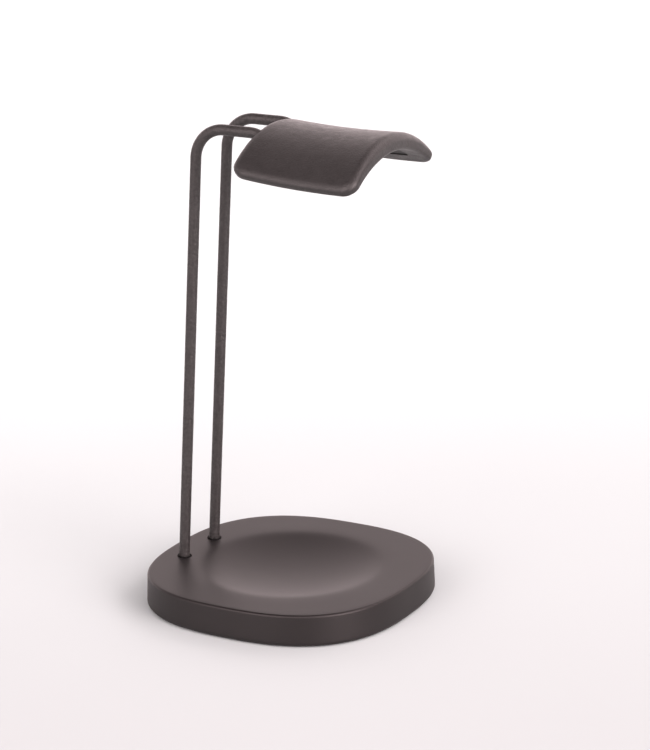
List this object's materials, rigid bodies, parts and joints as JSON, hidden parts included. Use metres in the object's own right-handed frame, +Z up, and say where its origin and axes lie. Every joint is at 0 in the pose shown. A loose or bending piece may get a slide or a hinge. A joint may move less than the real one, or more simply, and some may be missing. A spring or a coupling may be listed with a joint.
{
  "type": "headphone stand",
  "caption": "Free-standing headphone stand: weighted rounded-square base with a shallow round dish, bent round rods and a padded arched saddle for the headband.",
  "frame": {"origin": "on the table, under the middle of the base", "axes": "+Z up; -Y is the front, the way the saddle points from the rods; +X is to the right as seen from the front"},
  "size_m": [0.1762, 0.1762, 0.3149],
  "materials": {
    "soft_touch_shell": "satin",
    "black_nylon": "matte",
    "ballast_steel": "satin",
    "zinc_steel": "satin",
    "black_rubber": "matte",
    "powder_coated_steel": "satin",
    "soft_pad": "matte"
  },
  "bodies": {
    "root": {"base_shell": "soft_touch_shell", "base_cover": "black_nylon", "ballast_plate": "ballast_steel", "ballast_screw_front": "zinc_steel", "ballast_screw_left": "zinc_steel", "ballast_screw_right": "zinc_steel", "cover_screw_front_left": "zinc_steel", "cover_screw_front_right": "zinc_steel", "cover_screw_rear_left": "zinc_steel", "cover_screw_rear_right": "zinc_steel", "foot_front_left": "black_rubber", "foot_front_right": "black_rubber", "foot_rear_left": "black_rubber", "foot_rear_right": "black_rubber", "stem_rod_left": "powder_coated_steel", "stem_rod_right": "powder_coated_steel", "rod_bush_left": "black_nylon", "rod_bush_right": "black_nylon", "rod_screw_left": "zinc_steel", "rod_screw_right": "zinc_steel", "rod_washer_left": "zinc_steel", "rod_washer_right": "zinc_steel", "saddle_core": "black_nylon", "saddle_pad": "soft_pad", "set_screw_front_left": "zinc_steel", "set_screw_front_right": "zinc_steel", "set_screw_rear_left": "zinc_steel", "set_screw_rear_right": "zinc_steel"}
  },
  "joints": []
}
